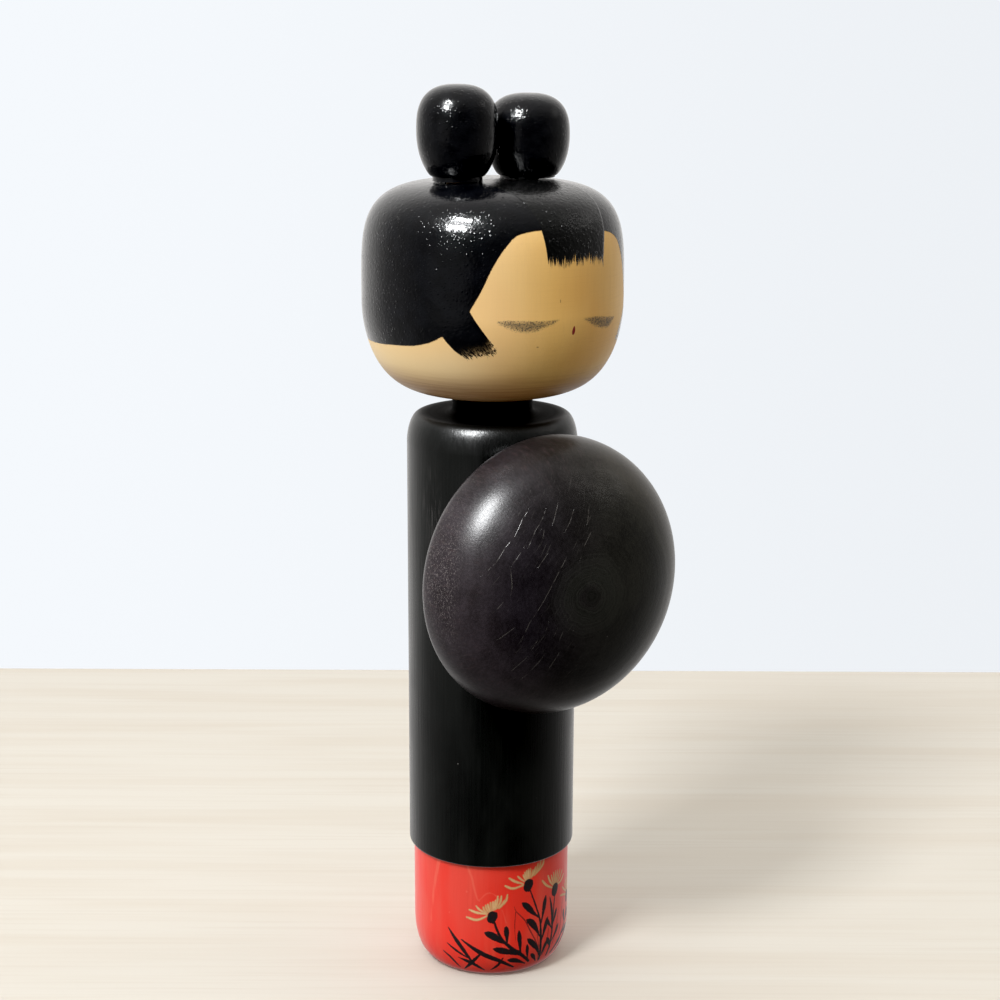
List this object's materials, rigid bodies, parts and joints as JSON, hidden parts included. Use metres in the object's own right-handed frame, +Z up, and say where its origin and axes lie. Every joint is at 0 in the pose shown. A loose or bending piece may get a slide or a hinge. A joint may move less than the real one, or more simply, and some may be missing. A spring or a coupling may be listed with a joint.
{
  "type": "kokeshi doll",
  "caption": "Turned wooden doll with a slim black cylindrical body, red foot, wide head that turns on a neck dowel, hair buns and a domed hat held in front.",
  "frame": {"origin": "centre of the foot's flat underside, on the ground", "axes": "+Z up along the body's axis; the front, where the hat is, faces -Y; the doll's own right is -X"},
  "size_m": [0.0744, 0.0857, 0.2432],
  "materials": {
    "kimono_black": "satin black paint on turned wood",
    "foot_red": "translucent red stain with painted flowers under clear wax",
    "face_wood": "honey-coloured waxed wood with painted hair and face",
    "hair_black": "glossy brushed black lacquer",
    "hat_brown": "satin dark brown stain over end grain",
    "bare_wood": "unfinished dowel"
  },
  "bodies": {
    "doll_body": {"kimono_body": "kimono_black", "red_foot": "foot_red", "neck_dowel": "bare_wood", "hat": "hat_brown", "hat_peg": "bare_wood"},
    "head": {"head": "face_wood", "bun_right": "hair_black", "bun_left": "hair_black", "bun_peg_right": "bare_wood", "bun_peg_left": "bare_wood"}
  },
  "joints": [
    {"name": "head_turn", "type": "hinge", "parent": "doll_body", "child": "head", "pos_m": [0, 0, 0.162], "axis": [0, 0, 1], "continuous": true}
  ]
}
